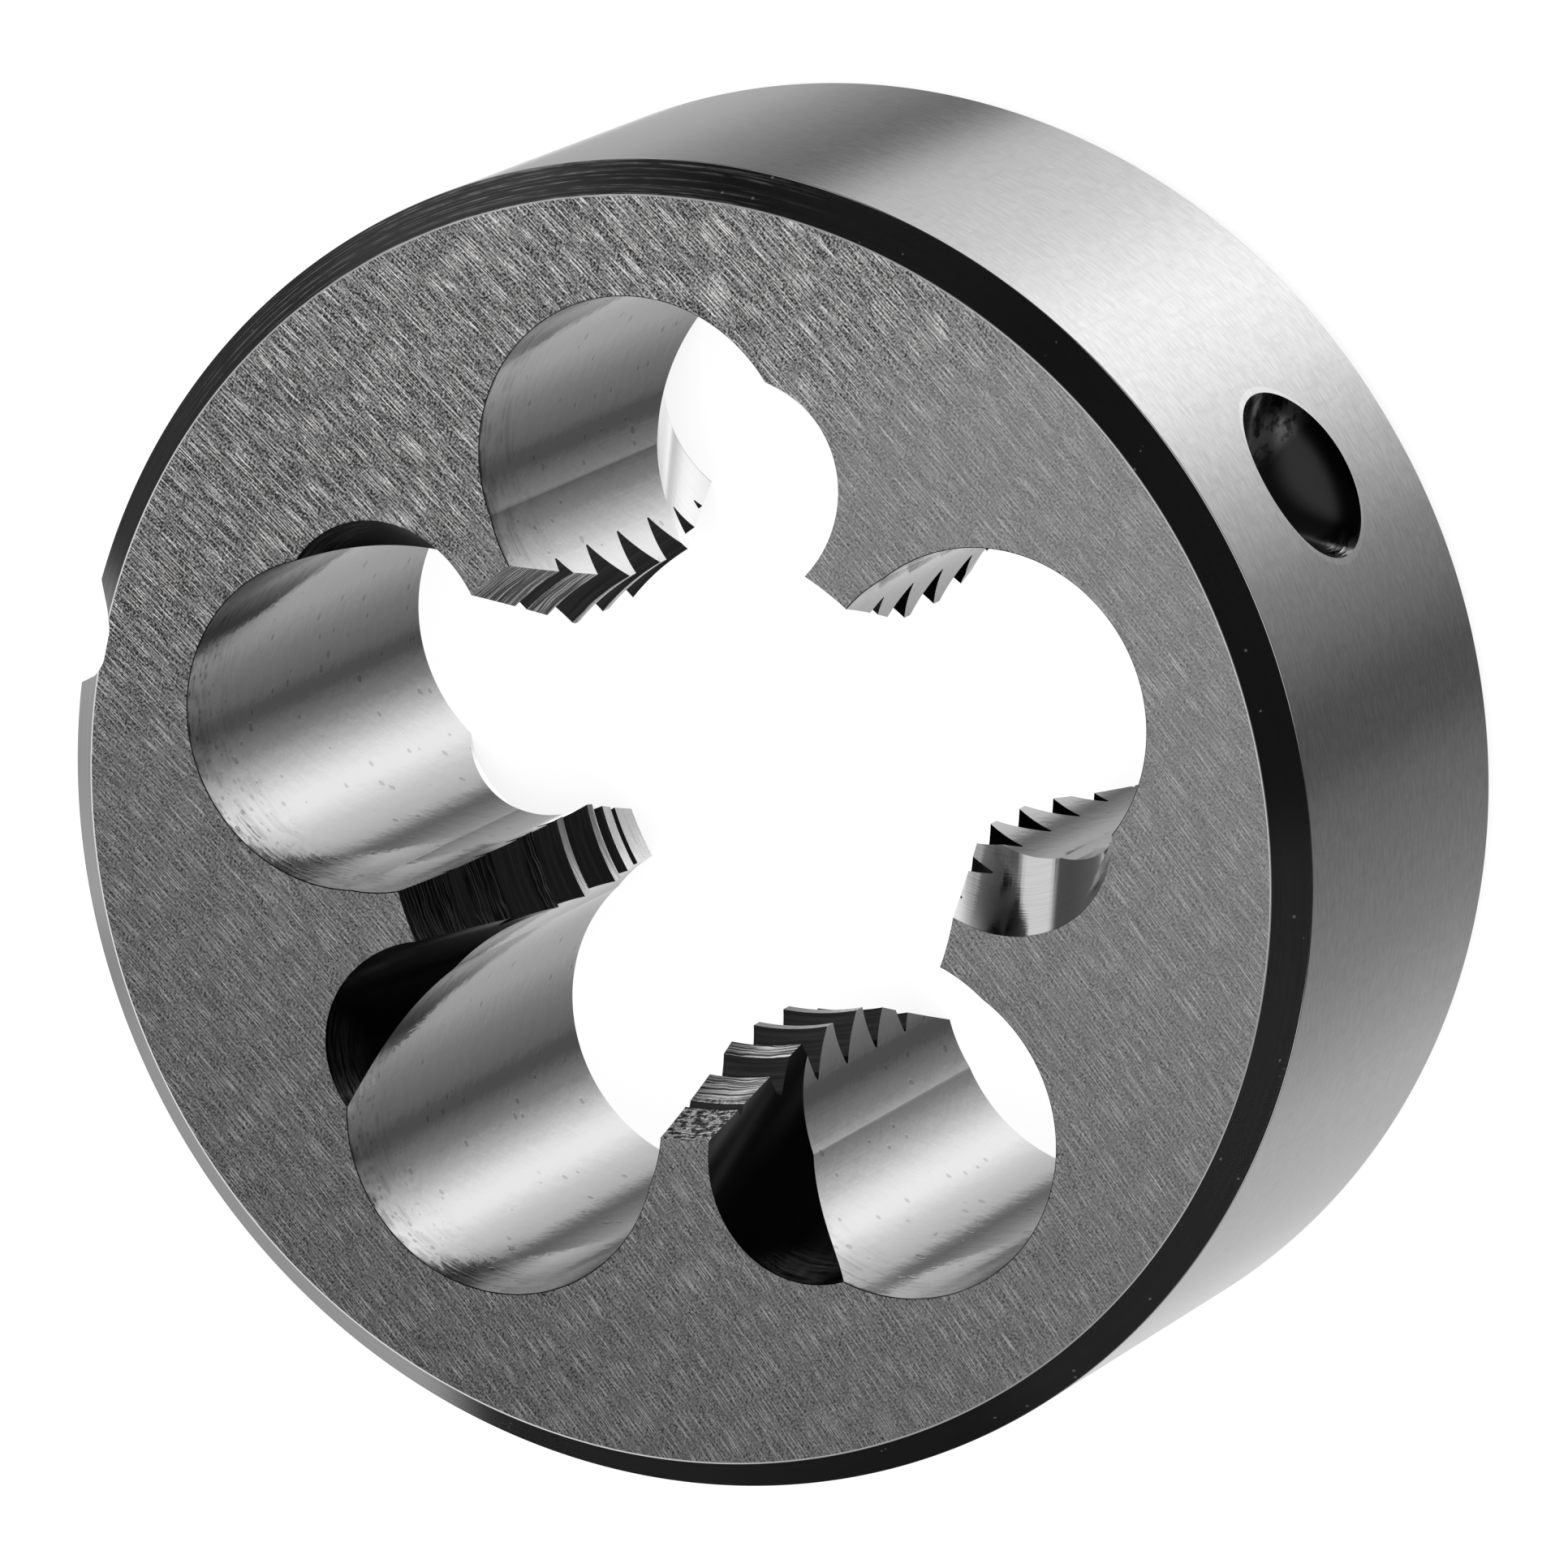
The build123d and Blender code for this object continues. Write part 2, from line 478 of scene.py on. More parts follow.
class Nodes:
    """Short ways to add nodes to one node tree and to link them."""

    def __init__(self, tree):
        self.tree = tree

    def put(self, value, socket):
        """Links an output to a socket, or sets the socket to a plain value."""
        if isinstance(value, bpy.types.NodeSocket):
            self.tree.links.new(value, socket)
        elif value is not None:
            socket.default_value = value

    def add(self, kind, *inputs, output=0, **settings):
        """Adds a node, fills its inputs in order and returns one of its outputs."""
        node = self.tree.nodes.new(kind)
        for key, value in settings.items():
            setattr(node, key, value)
        for socket, value in zip(node.inputs, inputs):
            self.put(value, socket)
        return node.outputs[output]

    def math(self, operation, *inputs):
        """Adds a Math node."""
        return self.add("ShaderNodeMath", *inputs, operation=operation)

    def times(self, first, second):
        """Multiplies two numbers."""
        return self.math("MULTIPLY", first, second)

    def times_add(self, first, second, more):
        """Multiplies two numbers and adds a third."""
        return self.math("MULTIPLY_ADD", first, second, more)

    def total(self, start, *shares):
        """Adds to a start any number of values, each times its own share."""
        for value, share in shares:
            start = self.times_add(value, share, start)
        return start

    def remap(self, value, low, high, new_low=0.0, new_high=1.0):
        """Maps a range of a value to another range, smoothly and clamped."""
        return self.add(
            "ShaderNodeMapRange",
            value,
            low,
            high,
            new_low,
            new_high,
            interpolation_type="SMOOTHSTEP",
        )

    def band(self, value, centre, half_width, soft):
        """Gives 1 where a value is near a centre and fades to 0 beside it."""
        off = self.math("ABSOLUTE", self.math("SUBTRACT", value, centre))
        return self.remap(off, half_width, half_width + soft, 1.0, 0.0)

    def mix(self, factor, first, second):
        """Blends two numbers by a factor."""
        return self.add("ShaderNodeMix", factor, None, first, second, data_type="FLOAT")

    def length(self, x, y):
        """Gives the length of a line from its two sides."""
        return self.math("SQRT", self.times_add(x, x, self.times(y, y)))

    def join(self, x, y, z):
        """Makes a vector of three numbers."""
        return self.add("ShaderNodeCombineXYZ", x, y, z)

    def split(self, vector):
        """Gives the three numbers of a vector."""
        return self.add("ShaderNodeSeparateXYZ", vector).node.outputs

    def noise(self, vector, scale, detail=2.0, roughness=0.5):
        """Adds a noise pattern and returns its values."""
        node = self.add("ShaderNodeTexNoise", vector).node
        node.inputs["Scale"].default_value = scale
        node.inputs["Detail"].default_value = detail
        node.inputs["Roughness"].default_value = roughness
        return node.outputs["Fac"]

    def ramp(self, value, stops):
        """Adds a ramp of greys from a list of places and levels."""
        node = self.add("ShaderNodeValToRGB", value).node
        elements = node.color_ramp.elements
        while len(elements) < len(stops):
            elements.new(0.5)
        for element, (place, grey) in zip(elements, stops):
            element.position = place
            element.color = (grey, grey, grey, 1)
        return node.outputs["Color"]

    def grey(self, level):
        """Makes a grey colour of a number."""
        return self.add("ShaderNodeCombineColor", level, level, level)


def effect(name, inputs, outputs, build):
    """Makes a node group once, with its sockets, and fills it by a function."""
    tree = bpy.data.node_groups.get(name)
    if tree:
        return tree
    tree = bpy.data.node_groups.new(name, "ShaderNodeTree")
    for socket, kind, default in inputs:
        item = tree.interface.new_socket(socket, in_out="INPUT", socket_type=f"NodeSocket{kind}")
        if default is not None:
            item.default_value = default
    for socket in outputs:
        tree.interface.new_socket(socket, in_out="OUTPUT", socket_type="NodeSocketFloat")
    nodes = Nodes(tree)
    given = tree.nodes.new("NodeGroupInput").outputs
    result = build(nodes, given)
    end = tree.nodes.new("NodeGroupOutput")
    for socket, value in zip(end.inputs, result):
        nodes.put(value, socket)
    return tree


def use_effect(nodes, tree, **values):
    """Places an effect in a material and returns its outputs by name."""
    node = nodes.tree.nodes.new("ShaderNodeGroup")
    node.node_tree = tree
    for name, value in values.items():
        nodes.put(value, node.inputs[name.replace("_", " ").capitalize()])
    return node.outputs


def tool_marks():
    """Lines that a cutting edge or a grinding wheel leaves.

    Lengthwise is the place along the lines and Crosswise the place across them, both in
    millimetres. Lines is an even grain of fine and coarse lines, and Scratches are the few
    deep ones.
    """

    def build(nodes, given):
        lengthwise = nodes.times(given["Lengthwise"], given["Along"])
        crosswise = nodes.times(given["Crosswise"], given["Across"])
        side = nodes.times(given["Sideways"], given["Along"])
        grain = nodes.noise(nodes.join(lengthwise, crosswise, side), 1.0, 2.0, 0.6)
        lines = nodes.remap(grain, 0.3, 0.7)
        far_along = nodes.times_add(lengthwise, 0.45, 7.3)
        far_side = nodes.times_add(side, 0.45, 2.1)
        sparse_across = nodes.times(crosswise, 1.15)
        sparse = nodes.noise(nodes.join(far_along, sparse_across, far_side), 1.0, 1.0, 0.5)
        scratches = nodes.remap(sparse, 0.62, 0.72)
        return lines, scratches

    inputs = (
        ("Lengthwise", "Float", 0.0),
        ("Sideways", "Float", 0.0),
        ("Crosswise", "Float", 0.0),
        ("Along", "Float", 1.0),
        ("Across", "Float", 10.0),
    )
    return effect("tool_marks", inputs, ("Lines", "Scratches"), build)


def specks():
    """Small grains, such as burrs, pits and dust: Amount is how many of them show."""

    def build(nodes, given):
        cells = nodes.add("ShaderNodeTexVoronoi", given["Vector"]).node
        nodes.put(given["Density"], cells.inputs["Scale"])
        chance = nodes.split(cells.outputs["Color"])
        shown = nodes.math("LESS_THAN", chance[0], given["Amount"])
        size = nodes.times_add(chance[1], 0.22, 0.12)
        edge = nodes.times(size, 1.5)
        grain = nodes.add(
            "ShaderNodeMapRange", cells.outputs["Distance"], size, edge, 1.0, 0.0
        )
        return (nodes.times(grain, shown),)

    inputs = (
        ("Vector", "Vector", None),
        ("Density", "Float", 5.0),
        ("Amount", "Float", 0.1),
    )
    return effect("specks", inputs, ("Specks",), build)


def round_place():
    """Turns a place into millimetres round an upright axis, without a seam.

    Lengthwise and Sideways run round the axis at the radius Girth, Radius is the distance
    from the axis.
    """

    def build(nodes, given):
        x, y, _ = nodes.split(given["Vector"])
        radius = nodes.length(x, y)
        reach = nodes.math("DIVIDE", given["Girth"], nodes.math("MAXIMUM", radius, 0.01))
        return nodes.times(x, reach), nodes.times(y, reach), radius

    inputs = (("Vector", "Vector", None), ("Girth", "Float", 10.0))
    return effect("round_place", inputs, ("Lengthwise", "Sideways", "Radius"), build)


class Finish:
    """One steel finish: its material, its shader and the place on the die in millimetres."""

    def __init__(self, name):
        self.material = bpy.data.materials.new(name)
        self.material.use_nodes = True
        self.nodes = Nodes(self.material.node_tree)
        self.shader = self.material.node_tree.nodes["Principled BSDF"]
        coordinates = self.material.node_tree.nodes.new("ShaderNodeTexCoord")
        self.place = self.nodes.add(
            "ShaderNodeMapping",
            coordinates.outputs["Object"],
            None,
            None,
            (1000, 1000, 1000),
        )
        self.x, self.y, self.z = self.nodes.split(self.place)

    def round_axis(self, girth):
        """Gives the place round the axis of the die."""
        return use_effect(self.nodes, round_place(), vector=self.place, girth=girth)

    def marks(self, place, across, along, crosswise):
        """Adds tool marks that run round an axis: across and along say how fine they are."""
        return use_effect(
            self.nodes,
            tool_marks(),
            lengthwise=place["Lengthwise"],
            sideways=place["Sideways"],
            crosswise=crosswise,
            along=along,
            across=across,
        )

    def specks(self, density, amount):
        """Adds small grains all over."""
        return use_effect(
            self.nodes, specks(), vector=self.place, density=density, amount=amount
        )["Specks"]

    def toward(self, turn):
        """Gives the distance from the axis in one direction."""
        across = self.nodes.times(self.y, sin(turn))
        return self.nodes.times_add(self.x, cos(turn), across)

    def beside(self, turn):
        """Gives the distance from the axis at right angles to a direction."""
        across = self.nodes.times(self.x, -sin(turn))
        return self.nodes.times_add(self.y, cos(turn), across)

    def near(self, centre, reach, soft):
        """Gives 1 within reach of a point and fades to 0 beyond it."""
        away = self.nodes.add(
            "ShaderNodeVectorMath", self.place, centre, operation="DISTANCE", output=1
        )
        return self.nodes.remap(away, reach, reach + soft, 1.0, 0.0)

    def depth(self, blank):
        """Gives the depth below the nearer face."""
        nodes, half = self.nodes, blank.thickness * 500
        off = nodes.math("ABSOLUTE", nodes.math("SUBTRACT", self.z, half))
        return nodes.math("SUBTRACT", half, off)

    def round_hole(self, holes, girth):
        """Gives the place round the axis of the nearest chip hole."""
        nodes = self.nodes
        share = 2 * pi / holes.count
        angle = nodes.math("SUBTRACT", nodes.math("ARCTAN2", self.y, self.x), NOTCH_DIRECTION)
        nearest = nodes.math("ROUND", nodes.math("DIVIDE", angle, share))
        middle = nodes.times_add(nearest, share, NOTCH_DIRECTION)
        centre = holes.centre * 1000
        local_x = nodes.times_add(nodes.math("COSINE", middle), -centre, self.x)
        local_y = nodes.times_add(nodes.math("SINE", middle), -centre, self.y)
        local = nodes.join(local_x, local_y, self.z)
        return use_effect(nodes, round_place(), vector=local, girth=girth)

    def set(self, grey, roughness, height, depth, metallic=1.0):
        """Feeds the shader. Depth is the height of the relief in metres."""
        nodes, shader = self.nodes, self.shader
        nodes.put(nodes.grey(grey), shader.inputs["Base Color"])
        nodes.put(roughness, shader.inputs["Roughness"])
        nodes.put(metallic, shader.inputs["Metallic"])
        bump = nodes.tree.nodes.new("ShaderNodeBump")
        bump.inputs["Strength"].default_value = 1
        bump.inputs["Distance"].default_value = depth
        nodes.put(height, bump.inputs["Height"])
        nodes.put(bump.outputs["Normal"], shader.inputs["Normal"])
        return self.material


# Finishes

# Sides of the die that differ from the rest, as directions from its axis
LINED_SIDE = radians(140)
MOST_LINED_SIDE = radians(38)
# The face is painted lighter towards this side: painted light
PAINTED_LIGHT_SIDE = radians(-20)
BARE_SIDE = radians(34)
# On this side the walls are darker and the crests near black
DARKENED_SIDE = radians(126)
# The gash on this side is polished smoother and painted bright as a reflection
POLISHED_SHEEN_SIDE = radians(-80)
# The back gash on this side is painted less bright
DIM_BACK_SIDE = radians(-25)

# Sides of a chip hole that are painted with shade near the mouth, as directions from its own axis
SHADED_WALLS = (radians(50), radians(205))

# Corner of a tooth that is torn into lumps, in millimetres
TORN_CORNER = (-12.0, -3.3, 21.0)


def ground_face(holes):
    """The ground faces: bright lines in wide arcs on a grainy grey, painted lighter towards one
    side as painted light, with burrs at the holes.
    """
    finish = Finish("ground_face")
    nodes = finish.nodes
    out_x = nodes.math("SUBTRACT", finish.x, WHEEL_CENTRE[0])
    out_y = nodes.math("SUBTRACT", finish.y, WHEEL_CENTRE[1])
    span = nodes.length(out_x, out_y)
    arc = nodes.times(nodes.math("ARCTAN2", out_y, out_x), WHEEL_REACH)
    fine = use_effect(
        nodes, tool_marks(), lengthwise=arc, crosswise=span, sideways=0.0, along=0.6, across=20.0
    )
    grain = nodes.noise(finish.place, 10.5, 1.0)
    clouds = nodes.noise(finish.place, 1.6, 3.0, 0.6)

    # How strong the lines are: most on the side towards the notch, least on the opposite one
    most = nodes.remap(finish.toward(MOST_LINED_SIDE), 10.0, 18.0)
    contrast = nodes.total(0.56, (finish.toward(LINED_SIDE), 0.0075), (most, 0.75))
    contrast = nodes.times(contrast, nodes.remap(clouds, 0.32, 0.6, 0.7, 1.2))
    bright = nodes.remap(fine["Lines"], 0.35, 1.0)
    bright = nodes.times(bright, bright)
    lines = nodes.total(-2.68, (bright, 2.1), (grain, 4.4), (fine["Scratches"], 1.2))
    level = nodes.total(0.244, (nodes.times(lines, contrast), 0.245), (clouds, 0.06))
    # Painted light: the face is painted lighter towards one side and darker towards the other
    grey = nodes.times(level, nodes.times_add(finish.toward(PAINTED_LIGHT_SIDE), 0.013, 0.89))

    # Burrs that the drill left beside the mouths of the chip holes
    reach = finish.round_hole(holes, 7.0)["Radius"]
    near = nodes.band(reach, holes.diameter * 500, 0.05, 0.25)
    burrs = nodes.times(finish.specks(6.0, 0.35), near)
    grey = nodes.math("MAXIMUM", nodes.times_add(burrs, -0.16, grey), 0.03)
    roughness = nodes.times_add(fine["Lines"], 0.12, 0.3)
    return finish.set(grey, roughness, fine["Lines"], 1.5e-6)


def turned_chamfer(blank):
    """The turned chamfers: fine grooves, bare on one side, and a painted highlight along the edge
    at the face.
    """
    finish = Finish("turned_chamfer")
    nodes = finish.nodes
    place = finish.round_axis(27.0)
    marks = finish.marks(place, 14.0, 0.06, finish.z)
    dashes = finish.marks(place, 8.0, 0.9, finish.z)
    bare = nodes.times(nodes.remap(marks["Lines"], 0.45, 1.0), dashes["Lines"])
    worn = nodes.times(bare, nodes.remap(finish.toward(BARE_SIDE), 21.0, 26.5))
    dust = finish.specks(6.0, 0.012)
    worn = nodes.times_add(dust, 0.25, nodes.times(worn, 0.5))
    # A painted highlight along the edge break at the face
    edge = nodes.remap(finish.depth(blank), 0.02, 0.045, 1.0, 0.0)
    grey = nodes.total(0.38, (marks["Lines"], 0.06), (edge, 0.28))
    metallic = nodes.math("SUBTRACT", 1.0, worn)
    return finish.set(grey, 0.15, marks["Lines"], 1e-6, metallic)


def ground_rim(blank):
    """The ground rim: faint short lines round the disc, faint chatter and a painted highlight along
    the seat edge.
    """
    finish = Finish("ground_rim")
    nodes = finish.nodes
    place = finish.round_axis(27.5)
    marks = finish.marks(place, 10.0, 1.5, finish.z)
    upright = nodes.join(place["Lengthwise"], place["Sideways"], nodes.times(finish.z, 0.2))
    chatter = nodes.remap(nodes.noise(upright, 3.0, 2.0, 0.6), 0.5, 0.7)
    dashes = nodes.times(chatter, marks["Lines"])
    grey = nodes.total(0.27, (marks["Lines"], 0.08), (dashes, -0.04), (marks["Scratches"], -0.035))

    # A painted highlight along the edge round the screw seat
    seat_radius = blank.seat_diameter * 500
    rise = nodes.math("SUBTRACT", finish.z, blank.thickness * 500)
    off_seat = nodes.length(finish.beside(blank.seat_direction), rise)
    facing = nodes.math("GREATER_THAN", finish.toward(blank.seat_direction), 0.0)
    edge = nodes.remap(off_seat, seat_radius + 0.02, seat_radius + 0.06, 1.0, 0.0)
    grey = nodes.times_add(nodes.times(edge, facing), 0.06, grey)
    roughness = nodes.times_add(marks["Lines"], 0.05, 0.1)
    return finish.set(grey, roughness, marks["Lines"], 4e-7)


def drilled_wall(blank, holes):
    """The drilled chip holes: smooth, with dents, rings that grow stronger at the mouth, and
    painted shade near the mouth on two sides of each hole.
    """
    finish = Finish("drilled_wall")
    nodes = finish.nodes
    place = finish.round_hole(holes, 7.0)
    marks = finish.marks(place, 3.5, 0.12, finish.z)
    waves = nodes.noise(finish.place, 1.3, 3.0, 0.55)
    dents = finish.specks(2.2, 0.07)
    depth = nodes.math("SUBTRACT", blank.thickness * 1000, finish.z)
    darkened_side = nodes.remap(finish.toward(DARKENED_SIDE), 0.0, 10.0)
    mouth = nodes.remap(depth, 0.2, 6.0, 1.0, 0.0)
    broken = nodes.remap(nodes.noise(finish.place, 1.1, 3.0), 0.4, 0.6)
    rings = nodes.times(nodes.times(marks["Lines"], mouth), broken)
    # A thin dark line just inside the mouth: painted shade of the burr
    lip = nodes.times(nodes.band(depth, 0.1, 0.03, 0.04), broken)
    pits = nodes.times(nodes.times(finish.specks(3.2, 0.3), mouth), darkened_side)
    # Painted shade: darker towards the mouth on two sides of each hole, on one side of the die
    shaded_sides = 0.0
    for turn in SHADED_WALLS:
        out = nodes.times(place["Sideways"], sin(turn))
        out = nodes.times_add(place["Lengthwise"], cos(turn), out)
        shaded_sides = nodes.math("MAXIMUM", nodes.remap(out, 5.5, 6.2), shaded_sides)
    painted_shade = nodes.times(nodes.remap(depth, 0.0, 9.0, 1.0, 0.0), darkened_side)
    painted_shade = nodes.times(painted_shade, shaded_sides)
    darker = ((painted_shade, -0.22), (rings, -0.12), (pits, -0.12), (lip, -0.18), (dents, -0.09))
    grey = nodes.math("MAXIMUM", nodes.total(0.306, *darker), 0.02)
    height = nodes.total(0.0, (rings, 2.0), (waves, 6.0), (dents, 2.0))
    roughness = nodes.times_add(mouth, 0.06, 0.09)
    return finish.set(grey, roughness, height, 2e-6)


def turned_lead():
    """The lead cones and the crests: torn lines along them, and lumps at one tooth's corner."""
    finish = Finish("turned_lead")
    nodes = finish.nodes
    place = finish.round_axis(11.5)
    bent = nodes.times_add(nodes.noise(finish.place, 0.9, 1.0), 0.35, finish.z)
    marks = finish.marks(place, 10.0, 0.22, bent)
    lumps = nodes.noise(finish.place, 3.5, 2.0, 0.7)
    torn = finish.near(TORN_CORNER, 1.6, 1.2)
    lined = nodes.remap(marks["Lines"], 0.3, 0.8)
    lined = nodes.mix(torn, lined, nodes.remap(lumps, 0.42, 0.58))

    # The upper half is darkened to near black on one side, and the lower half is plain
    black = nodes.remap(finish.toward(DARKENED_SIDE), 6.0, 8.0)
    black = nodes.times(black, nodes.remap(finish.z, 13.0, 14.5))
    lined = nodes.times(lined, nodes.times_add(black, -0.94, 1.0))
    lined = nodes.mix(nodes.remap(finish.z, 13.5, 11.5), lined, 0.6)
    grey = nodes.times_add(lined, nodes.mix(torn, 0.75, 0.95), 0.03)
    height = nodes.times_add(nodes.times(lumps, torn), 6.0, marks["Lines"])
    roughness = nodes.times_add(lined, 0.12, 0.14)
    return finish.set(grey, roughness, height, 1.2e-5)


def cut_thread():
    """The flanks of the thread: painted near black as shade, with fine lines along them."""
    finish = Finish("cut_thread")
    nodes = finish.nodes
    place = finish.round_axis(11.5)
    marks = finish.marks(place, 7.0, 0.2, place["Radius"])
    grey = nodes.times_add(marks["Lines"], 0.03, 0.035)
    return finish.set(grey, 0.16, marks["Lines"], 1e-6)


def ground_gash(blank):
    """The gashes: smooth, painted near black as shade, but polished in one chip hole, and painted
    bright as a reflection there and on most of the back.
    """
    finish = Finish("ground_gash")
    nodes = finish.nodes
    place = finish.round_axis(12.0)
    marks = finish.marks(place, 8.0, 1.2, finish.z)
    # Painted reflection and shade: one gash and most back gashes are painted bright, the rest near
    # black
    one_hole = nodes.remap(finish.toward(POLISHED_SHEEN_SIDE), 9.0, 10.0)
    back = nodes.remap(finish.z, 11.5, 10.5)
    darkened_side = nodes.remap(finish.toward(DIM_BACK_SIDE), 9.0, 12.0)
    back = nodes.times(back, nodes.times_add(darkened_side, -0.75, 1.0))
    painted_sheen = nodes.math("MAXIMUM", one_hole, back)

    # The outer end of each gash is scored beside its mouth, the scoring painted bright as glints,
    # and the mouth itself is burred
    outer = nodes.remap(place["Radius"], 17.4, 18.2)
    shallow = nodes.remap(finish.depth(blank), 0.8, 2.4, 1.0, 0.0)
    scoring_and_glints = nodes.times(nodes.times(outer, shallow), marks["Lines"])
    burred = nodes.remap(finish.depth(blank), 0.03, 0.1, 1.0, 0.0)
    grey = nodes.mix(painted_sheen, nodes.times_add(scoring_and_glints, 0.35, 0.045), 0.42)
    grey = nodes.times_add(marks["Lines"], nodes.times(painted_sheen, 0.05), grey)
    grey = nodes.times(grey, nodes.times_add(burred, -0.7, 1.0))
    height = nodes.times(marks["Lines"], nodes.times(one_hole, 0.5))
    height = nodes.times_add(scoring_and_glints, 3.0, height)
    return finish.set(grey, nodes.mix(one_hole, 0.2, 0.07), height, 1e-6)


def milled_notch():
    """The notch: milled along the rim, a little duller than the face."""
    finish = Finish("milled_notch")
    nodes = finish.nodes
    marks = use_effect(
        nodes,
        tool_marks(),
        lengthwise=finish.z,
        crosswise=finish.x,
        sideways=finish.y,
        along=0.5,
        across=8.0,
    )
    grey = nodes.times_add(marks["Lines"], 0.12, 0.28)
    return finish.set(grey, 0.3, marks["Lines"], 3e-6)


def drilled_seat(blank):
    """The screw seat: a cone painted near black as shade, grey and blotched on one side and scored
    at one end, the scoring painted bright as glints.
    """
    finish = Finish("drilled_seat")
    nodes = finish.nodes
    side = finish.beside(blank.seat_direction)
    rise = nodes.math("SUBTRACT", finish.z, blank.thickness * 500)
    local = nodes.join(side, rise, 0.0)
    place = use_effect(nodes, round_place(), vector=local, girth=3.0)
    marks = finish.marks(place, 5.0, 0.7, place["Radius"])
    blotches = nodes.remap(nodes.noise(local, 1.3, 4.0, 0.65), 0.4, 0.56)
    grey_side = nodes.remap(nodes.times_add(rise, 0.35, side), 0.4, 1.8)
    end = nodes.remap(side, -2.6, -3.7)
    patch = nodes.times(grey_side, blotches)
    end_scoring_and_glints = nodes.times(end, marks["Lines"])
    # The near-black grey is painted shade, and the bright scoring at the end is painted glints
    grey = nodes.times_add(patch, 0.2, 0.025)
    grey = nodes.times_add(end_scoring_and_glints, 0.7, grey)
    height = nodes.times_add(end_scoring_and_glints, 8.0, nodes.times(patch, 0.5))
    return finish.set(grey, 0.16, height, 2e-6)


def make_materials(blank, holes):
    """Makes the finish that each tool leaves on the steel."""
    return {
        "face": ground_face(holes),
        "chamfer": turned_chamfer(blank),
        "rim": ground_rim(blank),
        "wall": drilled_wall(blank, holes),
        "lead": turned_lead(),
        "thread": cut_thread(),
        "gash": ground_gash(blank),
        "notch": milled_notch(),
        "seat": drilled_seat(blank),
    }


# Operators


class DIE_OT_add_die(bpy.types.Operator):
    """Add the threading die, cut from a turned blank"""

    bl_idname = "object.add_threading_die"
    bl_label = "Add Threading Die"
    bl_options = {"REGISTER", "UNDO"}

    def execute(self, context):
        blank = context.scene.die_blank
        thread = context.scene.die_thread
        holes = context.scene.die_holes
        materials = make_materials(blank, holes)
        piece = add_blank(blank, materials)
        cutters = (
            (add_bore_cutter(blank, thread), "lead"),
            (add_hole_cutters(blank, holes), "wall"),
            (add_thread_cutter(blank, thread), "thread"),
            (add_gash_cutters(blank, holes), "gash"),
            (add_notch_cutter(blank), "notch"),
            (add_seat_cutter(blank), "seat"),
        )
        for cutter, finish in cutters:
            finish_with(cutter, materials[finish])
            combine(piece, cutter, "DIFFERENCE")
        clean_up(piece)
        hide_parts("threading_die")
        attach(piece, "root")
        return {"FINISHED"}


class DIE_OT_add_studio(bpy.types.Operator):
    """Add the floor, the lamps and the camera round the threading die"""

    bl_idname = "scene.add_die_studio"
    bl_label = "Add Studio"
    bl_options = {"REGISTER", "UNDO"}

    def execute(self, context):
        add_floor()
        add_lamp()
        add_light_dome()
        light_world(context.scene)
        add_camera(context.scene)
        context.scene.view_settings.view_transform = "Standard"
        return {"FINISHED"}


# Studio

# Radius of the dome of soft lamps and black cards that the steel mirrors
DOME_RADIUS = 0.4

# Level of the plain light all round, which falls on matt surfaces
PLAIN_LIGHT = 0.25

# Width of the floor, its grey and its glow, which makes it white to the camera
FLOOR_WIDTH = 4
FLOOR_GREY = 0.35
FLOOR_GLOW = 0.84

# Place, width and power of the lamp that casts the shadow on the floor
LAMP_PLACE = Vector((0.1, -0.15, 0.9))
LAMP_WIDTH = 0.8
LAMP_POWER = 6

# Camera, fitted to the outlines in the photograph: its place, its axes and its focal length
CAMERA_PLACE = Vector((0.163004, -0.184143, 0.491533))
CAMERA_FORWARD = Vector((-0.30220, 0.34078, -0.89025))
CAMERA_RIGHT = Vector((0.19500, -0.89207, -0.40767))
CAMERA_DOWN = Vector((-0.93308, -0.29679, 0.20314))
CAMERA_LENS = 300.83

# Lamps under the die, which its upright walls mirror: azimuth in degrees and level
LOW_LIGHT = (
    (-180, 0.75), (-150, 0.76), (-122, 0.47), (-94, 0.30), (-87, 0.19), (-78, 0.19),
    (-56, 0.58), (-40, 1.23), (-22, 2.13), (-12, 2.37), (-2, 2.32), (16, 1.56), (38, 1.06),
    (43, 0.72), (48, 0.37), (54, 0.25), (66, 0.38), (84, 0.56), (106, 0.53), (112, 1.15),
    (117, 1.81), (123, 1.77), (129, 1.37), (137, 0.95), (142, 0.84), (160, 0.80), (180, 0.75),
)

# Lamps below the height of the die
SIDE_LIGHT = (
    (-180, 0.39), (-150, 0.29), (-120, 0.16), (-90, 0.12), (20, 0.12), (50, 0.15), (80, 0.10),
    (100, 0.14), (114, 0.12), (130, 0.50), (160, 0.47), (180, 0.39),
)

# Lamps at the height of the die and a little above it
LEVEL_LIGHT = (
    (-180, 0.45), (-150, 0.50), (-125, 1.10), (-48, 1.20), (10, 1.10), (30, 0.40), (80, 0.40),
    (100, 1.10), (131, 1.20), (165, 1.10), (180, 0.45),
)

# Lamps well above the die
HIGH_LIGHT = (
    (-180, 0.35), (-120, 0.24), (-50, 0.18), (20, 0.24), (80, 0.50), (131, 0.94), (180, 0.42),
)

# Level straight overhead
OVERHEAD_LIGHT = 0.9

# Heights in degrees between which each band of lamps takes over from the one below it
SIDE_START = (-56.0, -44.0)
LEVEL_START = (-24.0, -8.0)
HIGH_START = (28.0, 46.0)
OVERHEAD_START = (68.0, 78.0)

